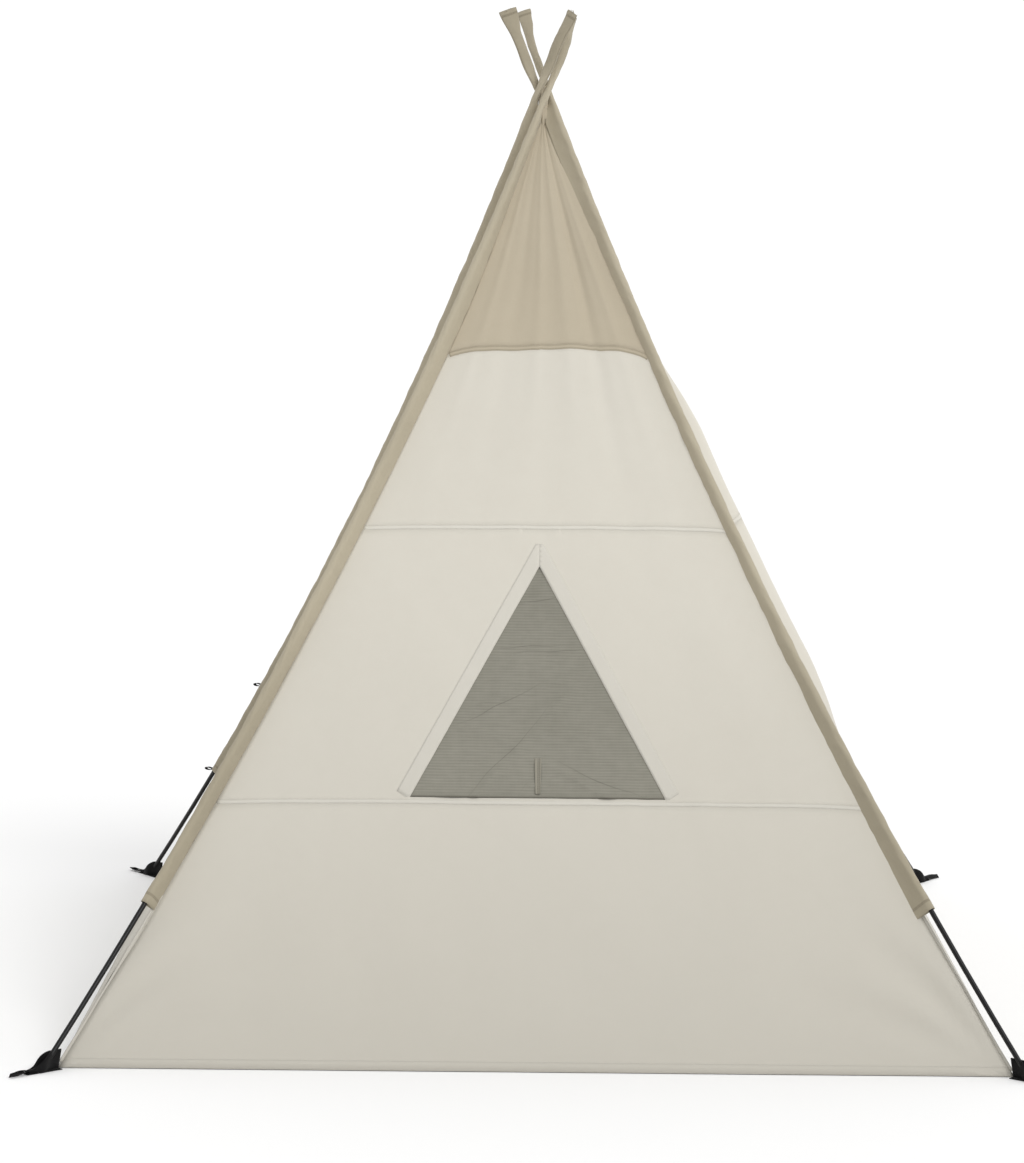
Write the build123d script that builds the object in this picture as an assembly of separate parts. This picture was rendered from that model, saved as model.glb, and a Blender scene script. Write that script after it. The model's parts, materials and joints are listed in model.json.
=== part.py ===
from build123d import *
import math
import os

# Teepee tent: four bowed poles in canvas sleeves, four sewn walls, a mesh window in three of
# them, a door in the rear one, and a sewn-in groundsheet. Millimetres, +Z up, origin on the
# ground at the centre of the base. The front wall faces -Y and the door wall faces +Y.

# ---- the frame of poles ----
FOOT = 1200.0  # x and y of each pole's foot
CROSSING = 2400.0  # height at which the four poles pass each other
POLE_BOW = 86.0  # inward sag of a pole from the straight line, foot to crossing
SWIRL = 18.0  # how far beside the centre line each pole passes at the crossing
POLE_R = 6.5
POLE_WALL = 1.0
POLE_SECTIONS = 5
POLE_END_Z = 2535.0
SPIGOT_FIT = 0.05  # radial clearance of a spigot in its tube
SPIGOT_LENGTH = 90.0
FOOT_Z = 11.0  # centre of the foot end of the pole above the ground
CAP_R = 7.1
CAP_LENGTH = 16.0
CAP_SKIRT = 12.0
CAP_FIT = 0.02

# ---- the sleeves ----
SLEEVE_IN = 7.6
SLEEVE_R = 9.0
SLEEVE_LOW_Z = 360.0
SLEEVE_TOP_Z = 2608.0
SLEEVE_END = 3.0  # stitched-up end of the sleeve, along the pole

# ---- the walls ----
CLOTH = 1.5
SEAM_GAP = 0.9  # from the corner's own plane to the edge of the cloth
HEM = 1165.0  # half width of the base at the hem
INSET_MID = 22.0  # how far the cloth lies inside the poles, half way up and near the top
INSET_TOP = 26.0
MID_Z = 1300.0
TOP_Z = 2250.0
SEAM_LOW = 600.0
SEAM_MID = 1262.0
SEAM_CROWN = 1716.0
CROWN_TIP = 2296.0
FLANGE = 1.2  # the sleeve's seam allowance, sewn between two walls
FLANGE_LAP = 8.0
FLANGE_FIT = 0.05
FLANGE_STEPS = 12

# ---- the windows ----
WINDOW_SILL = 622.0
WINDOW_APEX = 1168.0
WINDOW_HALF = 312.0
WINDOW_FIT = 0.3
MESH = 0.7
FACING = 0.8
FACING_WIDTH = 36.0
FACING_TOP = 1222.0
FACING_SETBACK = 1.0  # from the edge of the mesh to the facing
FLAP = 1.2
FLAP_GAP = 6.0  # between the inside of the wall and the storm flap's hinge line
FLAP_LAP = 14.0  # how far a storm flap laps past the mesh at its sides
FLAP_HINGE_Z = 630.0
FLAP_LENGTH = 622.0
FLAP_TIP = 20.0  # half the width of its tip
TIE_WIDTH = 20.0
TIE_THICK = 0.8
TIE_DROP = 84.0

# ---- the door ----
DOOR_SILL = 95.0
DOOR_TOP = 1200.0
DOOR_MARGIN = 95.0  # between the sleeve and the hinged edge of the door
DOOR_ZIP_X = -24.0
DOOR_GAP = 1.0
ZIP_WIDTH = 8.0
ZIP_THICK = 1.6
SLIDER = (12.0, 5.0, 22.0)
SLIDER_LIFT = 0.5
SLIDER_ROUND = 1.2
SLIDER_X = DOOR_ZIP_X - 7.0
SLIDER_Z = 1176.0
PULL = (7.0, 1.6, 34.0)
PULL_LIFT = 3.6
PULL_CLEAR = 1.0  # between the slider and the near end of the pull
PULL_HOLE = 3.0  # from the far end of the pull to the middle of its hole

# ---- the base ----
FLOOR_HALF = 1158.0
FLOOR_THICK = 2.0
POCKET_IN = 7.8
POCKET_R = 11.0
POCKET_HIGH = 46.0
POCKET_BASE = (88.0, 50.0, 2.0)
LOOP_HINGE = 1222.0  # x and y of the line a stake loop hinges on
STAKE_LOOP = (66.0, 24.0, 13.0)
STAKE_WEB = 2.2
STAKE_LIFT = 0.6
TIE_OUT = 16.0  # from the pole's centre line to a tie loop's hinge
TIE_LOOP = (28.0, 12.0, 9.5)
TIE_WEB = 1.8
TIE_LOOP_HEIGHTS = (655.0, 372.0)

CORNERS = {"front_left": 0, "front_right": 90, "rear_right": 180, "rear_left": 270}
WALLS = {"front": 0, "right": 90, "rear": 180, "left": 270}

# ---- the bow of a pole: a circle in the upright plane through its foot and the crossing ----
REACH = math.hypot(FOOT + SWIRL / math.sqrt(2), FOOT - SWIRL / math.sqrt(2))
CHORD = math.hypot(REACH, CROSSING)
BOW_R = CHORD**2 / (8 * POLE_BOW) + POLE_BOW / 2
BOW_U = REACH / 2 + (BOW_R - POLE_BOW) * CROSSING / CHORD
BOW_Z = CROSSING / 2 + (BOW_R - POLE_BOW) * REACH / CHORD
BOW_AXIS = Axis((BOW_U, 0, BOW_Z), (0, 1, 0))
AIM = math.degrees(math.atan2(-FOOT + SWIRL / math.sqrt(2), -FOOT - SWIRL / math.sqrt(2)))


def bow_angle(z):
    """Where on the bow a height is, in degrees below the level of its centre."""
    return math.degrees(math.asin((BOW_Z - z) / BOW_R))


def reach(z):
    """How far out from the crossing the pole's centre line is at a height."""
    return BOW_U - math.sqrt(BOW_R**2 - (z - BOW_Z) ** 2)


def along(length):
    """The turn about the bow's centre that carries a pole this far along itself."""
    return math.degrees(length / BOW_R)


def on_pole(shape):
    """Moves a shape drawn in the pole's own plane to the front left corner of the tent."""
    return Pos(SWIRL / math.sqrt(2), -SWIRL / math.sqrt(2), 0) * Rot(0, 0, AIM) * shape


def bowed(angle, turn, radius, hole=0.0):
    """A round bar or tube that starts at an angle on the bow and runs up it by a turn."""
    at = math.radians(angle)
    centre = (BOW_U - BOW_R * math.cos(at), 0, BOW_Z - BOW_R * math.sin(at))
    across = Plane(centre, x_dir=(0, 1, 0), z_dir=(-math.sin(at), 0, math.cos(at)))
    profile = Circle(radius)
    if hole:
        profile -= Circle(hole)
    return revolve(across * profile, BOW_AXIS, turn)


def group(solids):
    return Compound(children=list(solids))


def write(name, shape):
    export_step(shape, f"parts/{name}.step")


# ---- poles, drawn once and turned to each corner ----
def pole_tubes():
    start, end = bow_angle(FOOT_Z), bow_angle(POLE_END_Z)
    turn = (start - end) / POLE_SECTIONS
    return [
        on_pole(bowed(start - turn * i, turn, POLE_R, POLE_R - POLE_WALL))
        for i in range(POLE_SECTIONS)
    ]


def pole_spigots():
    start, end = bow_angle(FOOT_Z), bow_angle(POLE_END_Z)
    turn = (start - end) / POLE_SECTIONS
    half = along(SPIGOT_LENGTH / 2)
    radius = POLE_R - POLE_WALL - SPIGOT_FIT
    return [
        on_pole(bowed(start - turn * i + half, 2 * half, radius))
        for i in range(1, POLE_SECTIONS)
    ]


def pole_caps():
    thick = along(CAP_LENGTH - CAP_SKIRT)
    skirt = along(CAP_SKIRT)
    foot, top = bow_angle(FOOT_Z), bow_angle(POLE_END_Z)
    hole = POLE_R + CAP_FIT
    low = bowed(foot + thick, thick, CAP_R) + bowed(foot, skirt, CAP_R, hole)
    high = bowed(top, thick, CAP_R) + bowed(top + skirt, skirt, CAP_R, hole)
    return [on_pole(low), on_pole(high)]


def sleeve():
    """The canvas tube of one pole, and its seam allowance reaching in to the walls."""
    low, top = bow_angle(SLEEVE_LOW_Z), bow_angle(SLEEVE_TOP_Z)
    tube = bowed(low, low - top, SLEEVE_R, SLEEVE_IN) + bowed(top, along(SLEEVE_END), SLEEVE_R)
    rise = (CROWN_TIP - SLEEVE_LOW_Z) / FLANGE_STEPS
    heights = [SLEEVE_LOW_Z + rise * (i + 1) for i in range(FLANGE_STEPS)]
    inner = [(wall_half(z) * math.sqrt(2) - SWIRL - FLANGE_LAP, z) for z in heights]
    side = BOW_R + SLEEVE_R + FLANGE_FIT
    at = [math.radians(bow_angle(z)) for z in (heights[0], MID_Z, heights[-1])]
    outer = [(BOW_U - side * math.cos(a), BOW_Z - side * math.sin(a)) for a in at]
    outline = [
        ThreePointArc(*outer),
        Line(outer[2], inner[-1]),
        Polyline(*reversed(inner)),
        Line(inner[0], outer[0]),
    ]
    flange = extrude(Plane.XZ * make_face(outline), FLANGE / 2, both=True)
    return [on_pole(tube), on_pole(flange)]


def corner_pocket():
    """A webbing cup round the pole's foot, on a patch that the stake loop is sewn to."""
    out, wide, thick = POCKET_BASE
    block = Pos(-FOOT, -FOOT, POCKET_HIGH) * Box(FOOT / 3, FOOT / 3, 2 * POCKET_HIGH)
    cup = on_pole(bowed(bow_angle(0), along(POCKET_HIGH), POCKET_R)) & block
    middle = (HEM + FOOT) / 2 + POCKET_R / 2
    patch = Pos(-middle, -middle, thick / 2) * Rot(0, 0, 45) * Box(out, wide, thick)
    web = Pos(-middle, -middle, POCKET_HIGH / 3) * Rot(0, 0, 45)
    web = web * Box(2 * POCKET_R, 2 * thick, POCKET_HIGH * 2 / 3)
    bore = on_pole(bowed(bow_angle(thick), along(2 * POCKET_HIGH), POCKET_IN))
    tent = Box(2 * HEM + thick, 2 * HEM + thick, 4 * POCKET_HIGH)
    return cup + patch + web - (bore & (Pos(0, 0, thick) * block)) - tent


def webbing_loop(size, web):
    """A flat loop of webbing along X, open through its width, from the line it hinges on."""
    out, wide, high = size
    loop = Pos(out / 2, 0, 0) * Box(out, wide, high)
    loop = fillet(loop.edges().filter_by(Axis.Y), web * 1.5)
    return loop - Pos(out / 2, 0, 0) * Box(out - 2 * web, 2 * wide, high - 2 * web)


def stake_loop():
    at = LOOP_HINGE
    turn = Pos(-at, -at, STAKE_LIFT + STAKE_LOOP[2] / 2) * Rot(0, 0, 225)
    return turn * webbing_loop(STAKE_LOOP, STAKE_WEB)


def tie_loop(z):
    out = (reach(z) + TIE_OUT) / math.sqrt(2)
    return Pos(-out, -out, z) * Rot(0, 0, 225) * webbing_loop(TIE_LOOP, TIE_WEB)


# ---- walls, drawn as the front one and turned to each side ----
def pole_half(z):
    """Half the distance between two neighbouring poles at a height."""
    return reach(z) / math.sqrt(2)


def circle_through(points):
    """Centre and radius of the circle through three points."""
    (ax, ay), (bx, by), (cx, cy) = points
    d = 2 * (ax * (by - cy) + bx * (cy - ay) + cx * (ay - by))
    a2, b2, c2 = ax**2 + ay**2, bx**2 + by**2, cx**2 + cy**2
    x = (a2 * (by - cy) + b2 * (cy - ay) + c2 * (ay - by)) / d
    y = (a2 * (cx - bx) + b2 * (ax - cx) + c2 * (bx - ax)) / d
    return x, y, math.hypot(ax - x, ay - y)


WALL_OUT, WALL_Z, WALL_R = circle_through(
    [
        (HEM, 0.0),
        (pole_half(MID_Z) - INSET_MID, MID_Z),
        (pole_half(TOP_Z) - INSET_TOP, TOP_Z),
    ]
)


def wall_half(z):
    """How far the outside of a wall stands from the tent's centre line at a height."""
    return WALL_OUT - math.sqrt(WALL_R**2 - (z - WALL_Z) ** 2)


def band(low, high, out=0.0, thick=CLOTH):
    """A strip of the front wall's bowed surface, much too wide, between two heights."""
    levels = (low, (low + high) / 2, high)
    face_out = [(-wall_half(z) - out, z) for z in levels]
    face_in = [(y + thick, z) for y, z in face_out]
    outline = [
        ThreePointArc(*face_out),
        Line(face_out[2], face_in[2]),
        ThreePointArc(*reversed(face_in)),
        Line(face_in[0], face_out[0]),
    ]
    return extrude(Plane.YZ * make_face(outline), FOOT * 1.2, both=True)


def between_poles(shape, left_gap=SEAM_GAP, right_gap=SEAM_GAP):
    """Keeps what lies between the planes of the front wall's two poles, less a gap to each."""
    turned = math.radians(AIM)
    left = Vector(-math.sin(turned), math.cos(turned))
    right = Vector(-left.Y, left.X)
    sides = [
        Plane(left * (SWIRL + left_gap), z_dir=left),
        Plane(right * (SWIRL - right_gap), z_dir=-right),
    ]
    for side in sides:
        shape = shape & (side * Pos(0, 0, FOOT * 2) * Box(FOOT * 8, FOOT * 8, FOOT * 4))
    return shape


def wall_panel(low, high):
    return between_poles(band(low, high))


# ---- window parts, on the front wall ----
def window_prism(grow=0.0, top=WINDOW_APEX + FOOT):
    """The window's triangle, grown outwards square to its sides, as a prism along Y."""
    half_apex = math.atan2(WINDOW_HALF, WINDOW_APEX - WINDOW_SILL)
    apex = WINDOW_APEX + grow / math.sin(half_apex)
    half = (apex - WINDOW_SILL) * math.tan(half_apex)
    outline = Polyline((-half, WINDOW_SILL), (half, WINDOW_SILL), (0, apex), close=True)
    prism = extrude(Plane.XZ * make_face(outline), FOOT * 2, both=True)
    return prism & (Pos(0, 0, top / 2) * Box(FOOT * 4, FOOT * 4, top))


def window_mesh():
    inset = (CLOTH - MESH) / 2
    sheet = band(WINDOW_SILL + WINDOW_FIT, WINDOW_APEX, -inset, MESH)
    return sheet & window_prism(-WINDOW_FIT)


def window_facing():
    """The two pale strips laid along the window's sloping sides."""
    strip = band(WINDOW_SILL, FACING_TOP, FACING, FACING)
    return (strip & window_prism(FACING_WIDTH, FACING_TOP)) - window_prism(FACING_SETBACK)


def window_tie():
    low = WINDOW_SILL + WINDOW_FIT
    tape = band(low, WINDOW_SILL + TIE_DROP, -CLOTH - WINDOW_FIT, TIE_THICK)
    return tape & (Pos(0, 0, FOOT) * Box(TIE_WIDTH, FOOT * 4, FOOT * 2))


def storm_flap():
    """The canvas flap behind a window, hanging from the sill with its tip above the floor."""
    half = WINDOW_HALF + FLAP_LAP
    tip = FLAP_HINGE_Z - FLAP_LENGTH
    corners = [(-half, FLAP_HINGE_Z), (half, FLAP_HINGE_Z), (FLAP_TIP, tip), (-FLAP_TIP, tip)]
    flap = extrude(Plane.XZ * make_face(Polyline(*corners, close=True)), FLAP / 2, both=True)
    return Pos(0, -wall_half(FLAP_HINGE_Z) + CLOTH + FLAP_GAP, 0) * flap


# ---- door parts, drawn on the front wall and turned to the rear ----
def door_region(gap, out=0.0, thick=CLOTH):
    """The door's outline less a gap all round, as a strip of the bowed wall."""
    cloth = band(DOOR_SILL + gap, DOOR_TOP - gap, out, thick)
    cloth = between_poles(cloth, right_gap=DOOR_MARGIN + gap)
    return cloth & (Pos(DOOR_ZIP_X + gap + FOOT * 2, 0, FOOT) * Box(FOOT * 4, FOOT * 4, FOOT * 2))


def zip_tape(x, gap):
    tape = band(DOOR_SILL + gap, DOOR_TOP - gap, ZIP_THICK, ZIP_THICK)
    return tape & (Pos(x, 0, FOOT) * Box(ZIP_WIDTH, FOOT * 4, FOOT * 2))


def on_wall(x, z, lift):
    """A plane on the front wall: Z out of the cloth, X along it, Y up the slope."""
    lean = math.asin((WALL_Z - z) / WALL_R)
    normal = Vector(0, -math.cos(lean), math.sin(lean))
    return Plane(Vector(x, -wall_half(z), z) + normal * lift, x_dir=(1, 0, 0), z_dir=normal)


def zip_slider():
    high = ZIP_THICK + SLIDER_LIFT + SLIDER[1] / 2
    body = on_wall(SLIDER_X, SLIDER_Z, high) * Box(SLIDER[0], SLIDER[2], SLIDER[1])
    return fillet(body.edges(), SLIDER_ROUND)


def zip_pull():
    wide, thick, long = PULL
    place = on_wall(SLIDER_X, SLIDER_Z, PULL_LIFT)
    near = SLIDER[2] / 2 + PULL_CLEAR
    blade = place * Pos(0, -near - long / 2, 0) * Box(wide, long, thick)
    hole = place * Pos(0, -near - long + PULL_HOLE, 0) * Cylinder(wide / 4, thick * 4)
    return blade - hole


def turned(shape, angle):
    return Rot(0, 0, angle) * shape


os.makedirs("parts", exist_ok=True)

for corner, angle in CORNERS.items():
    write(f"pole_{corner}_tubes", group(turned(part, angle) for part in pole_tubes()))
    write(f"pole_{corner}_spigots", group(turned(part, angle) for part in pole_spigots()))
    write(f"pole_{corner}_caps", group(turned(part, angle) for part in pole_caps()))
    write(f"sleeve_{corner}", group(turned(part, angle) for part in sleeve()))
    write(f"pocket_{corner}", turned(corner_pocket(), angle))
    write(f"stake_loop_{corner}", turned(stake_loop(), angle))

write("crown", group(turned(wall_panel(SEAM_CROWN, CROWN_TIP), a) for a in WALLS.values()))
for side, angle in WALLS.items():
    lower = wall_panel(0, SEAM_LOW)
    middle = wall_panel(SEAM_LOW, SEAM_MID)
    if side == "rear":
        doorway = door_region(0, CLOTH * 8, CLOTH * 20)
        lower -= doorway
        middle -= doorway
    else:
        middle -= window_prism()
        write(f"mesh_{side}", turned(window_mesh(), angle))
        write(f"facing_{side}", turned(window_facing(), angle))
        write(f"tie_{side}", turned(window_tie(), angle))
        write(f"storm_flap_{side}", turned(storm_flap(), angle))
    write(f"lower_{side}", turned(lower, angle))
    write(f"middle_{side}", turned(middle, angle))
    write(f"upper_{side}", turned(wall_panel(SEAM_MID, SEAM_CROWN), angle))

rear = WALLS["rear"]
write("door_flap", turned(door_region(DOOR_GAP), rear))
write("zip_on_wall", turned(zip_tape(DOOR_ZIP_X - DOOR_GAP - ZIP_WIDTH / 2, 0), rear))
moving = zip_tape(DOOR_ZIP_X + 2 * DOOR_GAP + ZIP_WIDTH / 2, 2 * DOOR_GAP)
write("zip_on_door", turned(moving, rear))
write("zip_slider", turned(zip_slider(), rear))
write("zip_pull", turned(zip_pull(), rear))

for place, height in zip(("upper", "lower"), TIE_LOOP_HEIGHTS):
    write(f"tie_loop_{place}", turned(tie_loop(height), CORNERS["rear_left"]))

write("floor", Pos(0, 0, FLOOR_THICK / 2) * Box(2 * FLOOR_HALF, 2 * FLOOR_HALF, FLOOR_THICK))
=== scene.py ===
import json
import math

import bmesh
import bpy
from mathutils import Matrix, Vector, noise


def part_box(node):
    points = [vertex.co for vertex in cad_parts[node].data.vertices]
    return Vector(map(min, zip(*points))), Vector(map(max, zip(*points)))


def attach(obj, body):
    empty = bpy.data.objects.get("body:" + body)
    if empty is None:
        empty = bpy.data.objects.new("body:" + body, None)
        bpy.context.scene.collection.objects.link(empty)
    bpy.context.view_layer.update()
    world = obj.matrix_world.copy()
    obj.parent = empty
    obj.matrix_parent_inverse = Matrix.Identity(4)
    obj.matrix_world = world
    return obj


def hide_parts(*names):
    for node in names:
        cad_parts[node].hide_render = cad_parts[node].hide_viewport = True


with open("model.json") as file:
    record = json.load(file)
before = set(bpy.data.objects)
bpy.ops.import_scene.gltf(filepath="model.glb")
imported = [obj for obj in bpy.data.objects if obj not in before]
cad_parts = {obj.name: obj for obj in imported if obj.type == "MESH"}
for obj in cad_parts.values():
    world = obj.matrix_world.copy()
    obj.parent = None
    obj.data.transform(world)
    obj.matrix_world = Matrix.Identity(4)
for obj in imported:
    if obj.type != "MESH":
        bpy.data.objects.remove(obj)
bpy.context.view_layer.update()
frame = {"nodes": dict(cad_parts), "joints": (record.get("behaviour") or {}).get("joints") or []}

joints = {joint["name"]: joint for joint in frame["joints"]}

# ---------------------------------------------------------------- sizes taken from the frame
UP = Vector((0, 0, 1))
WALLS = {"front": 0, "right": 90, "rear": 180, "left": 270}
CORNERS = {"front_left": 0, "front_right": 90, "rear_right": 180, "rear_left": 270}


def far_from_hinge(node, joint):
    """The least and most distance of a node's points from a joint's axis."""
    centre, axis = Vector(joint["pos_m"]), Vector(joint["axis"])
    away = [(v.co - centre).cross(axis).length for v in frame["nodes"][node].data.vertices]
    return min(away), max(away)


POLE = joints["pole_front_left_travel"]
BOW_CENTRE = Vector(POLE["pos_m"])
BOW_SIDE = Vector(POLE["axis"])
BOW_OUT = BOW_SIDE.cross(UP)
BOW_R = sum(far_from_hinge("pole_front_left_tubes", POLE)) / 2
ZIP = joints["zip_travel"]
WALL_OUT, WALL_Z = ZIP["pos_m"][1], ZIP["pos_m"][2]
WALL_R = far_from_hinge("zip_on_wall", ZIP)[1]

SEAM_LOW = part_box("lower_front")[1].z
SEAM_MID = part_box("middle_front")[1].z
SEAM_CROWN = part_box("upper_front")[1].z
WALL_TIP = 2.333
SLEEVE_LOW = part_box("sleeve_front_left")[0].z + 0.016
SLEEVE_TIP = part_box("sleeve_front_left")[1].z
POLE_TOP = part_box("pole_front_left_caps")[1].z
WINDOW_LOW, WINDOW_HIGH = (corner.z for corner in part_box("mesh_front"))
WINDOW_LOW -= 0.010
WINDOW_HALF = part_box("mesh_front")[1].x + 0.010
FACING_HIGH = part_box("facing_front")[1].z
FLAP_LOW, FLAP_HIGH = (corner.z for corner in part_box("storm_flap_front"))
FLAP_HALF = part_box("storm_flap_front")[1].x
FLAP_Y = sum(corner.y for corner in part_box("storm_flap_front")) / 2
DOOR_LOW, DOOR_HIGH = (corner.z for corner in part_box("door_flap"))
DOOR_FREE = -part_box("door_flap")[1].x
CLOTH = 0.0009
EDGE_GAP = 0.0009


# ---------------------------------------------------------------- where things are
def spun(point, degrees):
    return Matrix.Rotation(math.radians(degrees), 3, "Z") @ Vector(point)


def pole_at(z):
    """Centre line of the front left pole at a height, its run, and the way out from the tent."""
    drop = z - BOW_CENTRE.z
    point = BOW_CENTRE - BOW_OUT * math.sqrt(BOW_R**2 - drop**2)
    point.z = z
    out = (BOW_CENTRE - point).normalized()
    return point, out.cross(BOW_SIDE).normalized() * -1, out


def half(z):
    """How far a wall stands from the tent's centre line."""
    return max(0.0, WALL_OUT - math.sqrt(WALL_R**2 - (z - WALL_Z) ** 2))


def seam_offset(z):
    """How far a corner seam lies beside the centre line: as the pole low down, none at the tip."""
    return BOW_CENTRE.dot(BOW_SIDE) * (1 - smooth(1.75, 2.32, z))


def wall_edges(z):
    """The x of a front wall's two side edges at a height."""
    y = -half(z)
    reach = seam_offset(z)
    other = spun(BOW_SIDE, 90)
    gap = EDGE_GAP * (1 - smooth(2.28, 2.33, z))
    left = (reach + gap - BOW_SIDE.y * y) / BOW_SIDE.x
    right = (reach - gap - other.y * y) / other.x
    return left, max(right, left + 0.0004)


def smooth(low, high, value):
    t = min(max((value - low) / (high - low), 0), 1)
    return t * t * (3 - 2 * t)


def rough(*place):
    return noise.noise(Vector(place))


# ---------------------------------------------------------------- the hang of the canvas
FOLDS = (
    # place across the wall, width, depth at the crown
    (0.13, 0.030, 0.0030), (0.30, 0.050, -0.0042), (0.44, 0.035, 0.0036),
    (0.60, 0.045, 0.0050), (0.735, 0.040, -0.0100), (0.86, 0.035, 0.0048),
)


def hang(x, z, wall):
    """How far the canvas stands out from its even curve at a place on a wall."""
    left, right = wall_edges(z)
    u = min(max((x - left) / (right - left), 0), 1)
    seed = 10.0 + WALLS[wall] / 7
    held = min(1.0, 9 * u * (1 - u))
    off = 0.0
    for place, width, depth in FOLDS:
        place += 0 if wall == "front" else 0.09 * rough(seed, place * 9, 0.5)
        run = smooth(0.85, 2.1, z) ** 1.3 * (1 - 0.85 * smooth(1.9, 2.28, z))
        off += depth * run * math.exp(-(((u - place) / width) ** 2))
    off += 0.0055 * held * rough(x * 1.7, z * 1.2, seed)
    off += 0.0034 * held * rough(x * 5.5 + z * 2, z * 3.2, seed + 3)
    off += 0.0010 * held * rough(x * 15 + z * 9, z * 10, seed + 5)
    for seam in (SEAM_LOW, SEAM_MID, SEAM_CROWN):
        near = math.exp(-abs(z - seam) / 0.045)
        off += near * held * (0.0024 * rough(x * 21, seed, seam) - (0.0012 if seam == SEAM_CROWN else 0.0003))
    # pulls that run in from the two lower corners
    for foot_x in (wall_edges(0)):
        dx, dz = abs(x - foot_x), z
        r = math.hypot(dx, dz)
        turn = math.atan2(dz, dx)
        pull = math.exp(-(((r - 0.27) / 0.20) ** 2)) * (0.45 + 0.55 * smooth(-0.5, 0.5, foot_x))
        off += 0.0080 * pull * math.sin(17 * turn + 6 * rough(seed, foot_x, r * 2))
    # puckers along the side seams
    side = min(x - left, right - x)
    off += 0.0016 * math.exp(-side / 0.05) * rough(x * 4, z * 24, seed + 8) * min(1, side / 0.006)
    if wall != "rear":
        off += window_pull(x, z, seed)
    belly = 0.014 if wall in ("right", "left") else 0.004
    off += belly * (4 * u * (1 - u)) * smooth(0.05, 0.7, z) * (1 - smooth(1.4, 2.1, z))
    if wall == "right":
        full = smooth(0.0, 0.11, u) * (1 - smooth(0.13, 0.50, u))
        off += 0.056 * full * smooth(0.50, 0.95, z) * (1 - smooth(1.45, 2.0, z))
    return off * (0.15 + 0.85 * smooth(0.0, 0.14, z))


def window_pull(x, z, seed):
    """The little pull of the window's bound edges."""
    if not WINDOW_LOW - 0.15 < z < WINDOW_HIGH + 0.15:
        return 0.0
    slope = WINDOW_HALF / (WINDOW_HIGH - WINDOW_LOW)
    away = (abs(x) - (WINDOW_HIGH - z) * slope) * math.cos(math.atan(slope))
    near = math.exp(-((away / 0.06) ** 2))
    return near * (0.0016 * rough(x * 14, z * 14, seed + 2) - 0.0010)


def seam_height(seam, u, wall):
    """The line of a seam across a wall, dipping where the sleeves hold it."""
    seed = 3.0 + WALLS[wall] / 11
    crown = seam == SEAM_CROWN
    dip = 0.019 if crown else 0.004
    line = -dip * math.exp(-u / 0.09) - 1.25 * dip * math.exp(-(1 - u) / 0.05)
    line += (0.0022 if crown else 0.0012) * rough(u * 9, seed, seam)
    if crown:
        line += 0.0024 * smooth(0.44, 0.46, u) - 0.0036 * smooth(0.745, 0.775, u)
        line += 0.004
    return seam + line


def on_wall(x, z, wall, lift=0.0):
    """A place on a wall's cloth, in the tent's own frame."""
    lean = math.asin((WALL_Z - z) / WALL_R)
    out = Vector((0, -math.cos(lean), math.sin(lean)))
    point = Vector((x, -half(z), z)) + out * (hang(x, z, wall) + lift)
    point.z = max(point.z, 0.0016)
    return spun(point, WALLS[wall])


# ---------------------------------------------------------------- mesh helpers
def flat_grid(columns, rows):
    """A grid that runs from 0 to 1 both ways."""
    bm = bmesh.new()
    bmesh.ops.create_grid(bm, x_segments=columns, y_segments=rows, size=0.5)
    bmesh.ops.translate(bm, verts=bm.verts, vec=(0.5, 0.5, 0))
    return bm


def set_uv(bm, rule=lambda co: (co.x, co.y)):
    layer = bm.loops.layers.uv.verify()
    for face in bm.faces:
        for loop in face.loops:
            loop[layer].uv = rule(loop.vert.co)


def moved(bm, rule):
    for vert in bm.verts:
        vert.co = rule(vert.co)


def finish_piece(name, bm, materials, thick=0.0, smooth_shade=True):
    """Makes one object of a mesh, facing outwards, with its materials and its thickness."""
    mesh = bpy.data.meshes.new(name)
    bm.to_mesh(mesh)
    bm.free()
    for material in materials:
        mesh.materials.append(material)
    for polygon in mesh.polygons:
        polygon.use_smooth = smooth_shade
    piece = bpy.data.objects.new(name, mesh)
    bpy.context.scene.collection.objects.link(piece)
    if thick:
        shell = piece.modifiers.new("cloth thickness", "SOLIDIFY")
        shell.thickness = thick
        shell.offset = -1
        shell.use_even_offset = False
    return piece


def merge(into, other):
    """Adds one mesh to another."""
    holder = bpy.data.meshes.new("held")
    other.to_mesh(holder)
    other.free()
    into.from_mesh(holder)
    bpy.data.meshes.remove(holder)


# ---------------------------------------------------------------- shader helpers
class Value:
    """A number that varies over a surface, as the socket that gives it."""

    def __init__(self, maker, socket):
        self.maker, self.socket = maker, socket

    def _sum(self, operation, *others, **settings):
        return self.maker.node("ShaderNodeMath", {"operation": operation, **settings}, self, *others)

    def __add__(self, other):
        return self._sum("ADD", other)

    def __sub__(self, other):
        return self._sum("SUBTRACT", other)

    def __rsub__(self, other):
        return self.maker.node("ShaderNodeMath", {"operation": "SUBTRACT"}, other, self)

    def __mul__(self, other):
        return self._sum("MULTIPLY", other)

    def __truediv__(self, other):
        return self._sum("DIVIDE", other)

    def __pow__(self, other):
        return self._sum("POWER", other)

    __radd__, __rmul__ = __add__, __mul__

    def below(self, other):
        return self._sum("LESS_THAN", other)

    def repeat(self, size):
        """Where the value is within each stretch of a length, from 0 to 1."""
        return (self / size)._sum("FRACT")

    def size(self):
        return self._sum("ABSOLUTE")

    def limit(self):
        return self._sum("ADD", 0.0, use_clamp=True)

    def wave(self, length):
        return (self * (2 * math.pi / length))._sum("SINE")

    def most(self, other):
        return self._sum("MAXIMUM", other)


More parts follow.
